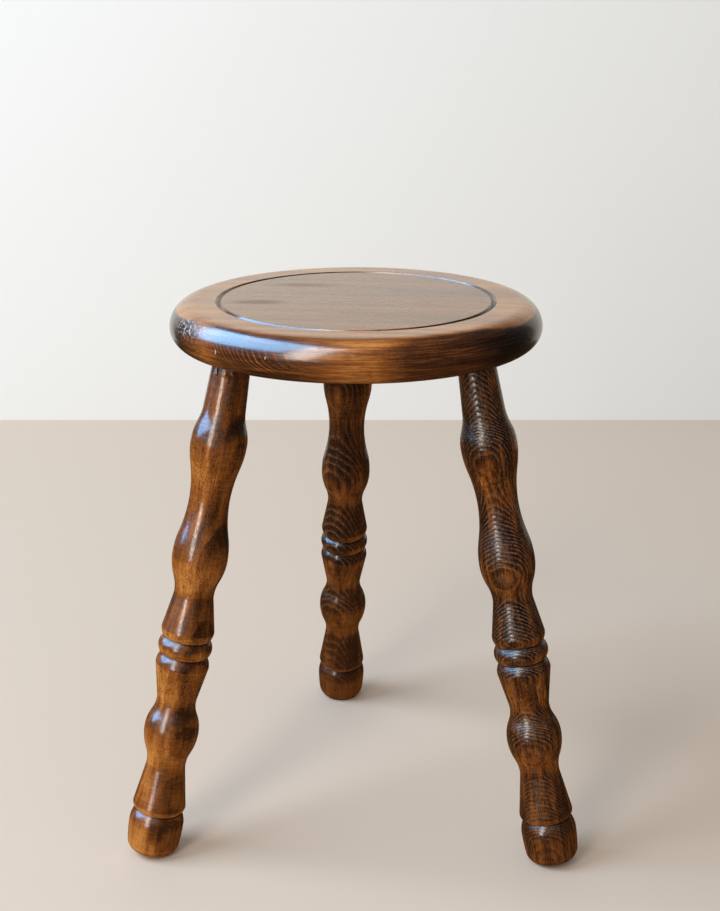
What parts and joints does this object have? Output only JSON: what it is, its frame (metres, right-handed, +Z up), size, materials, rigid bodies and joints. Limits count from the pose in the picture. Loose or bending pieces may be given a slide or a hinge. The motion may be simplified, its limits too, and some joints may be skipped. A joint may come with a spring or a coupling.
{
  "type": "tripod stool",
  "caption": "Round wooden stool: a bullnosed seat with a turned ring groove, on splayed legs turned with bulges, beads and barrel feet.",
  "frame": {"origin": "on the floor, under the middle of the seat", "axes": "+Z up, +Y towards the rear leg, +X to the right as seen from the front pair of legs"},
  "size_m": [0.3742, 0.3656, 0.4493],
  "materials": {
    "seat_wood": "dark brown stain under gloss varnish",
    "leg_wood": "dark brown stain under gloss varnish",
    "plain_wood": "bare wood with glue"
  },
  "bodies": {
    "root": {"seat_board_front": "seat_wood", "seat_board_rear": "seat_wood", "leg_left": "leg_wood", "leg_right": "leg_wood", "leg_rear": "leg_wood", "seam_dowel_left": "plain_wood", "seam_dowel_middle": "plain_wood", "seam_dowel_right": "plain_wood", "wedge_left": "plain_wood", "wedge_right": "plain_wood", "wedge_rear": "plain_wood"}
  },
  "joints": []
}
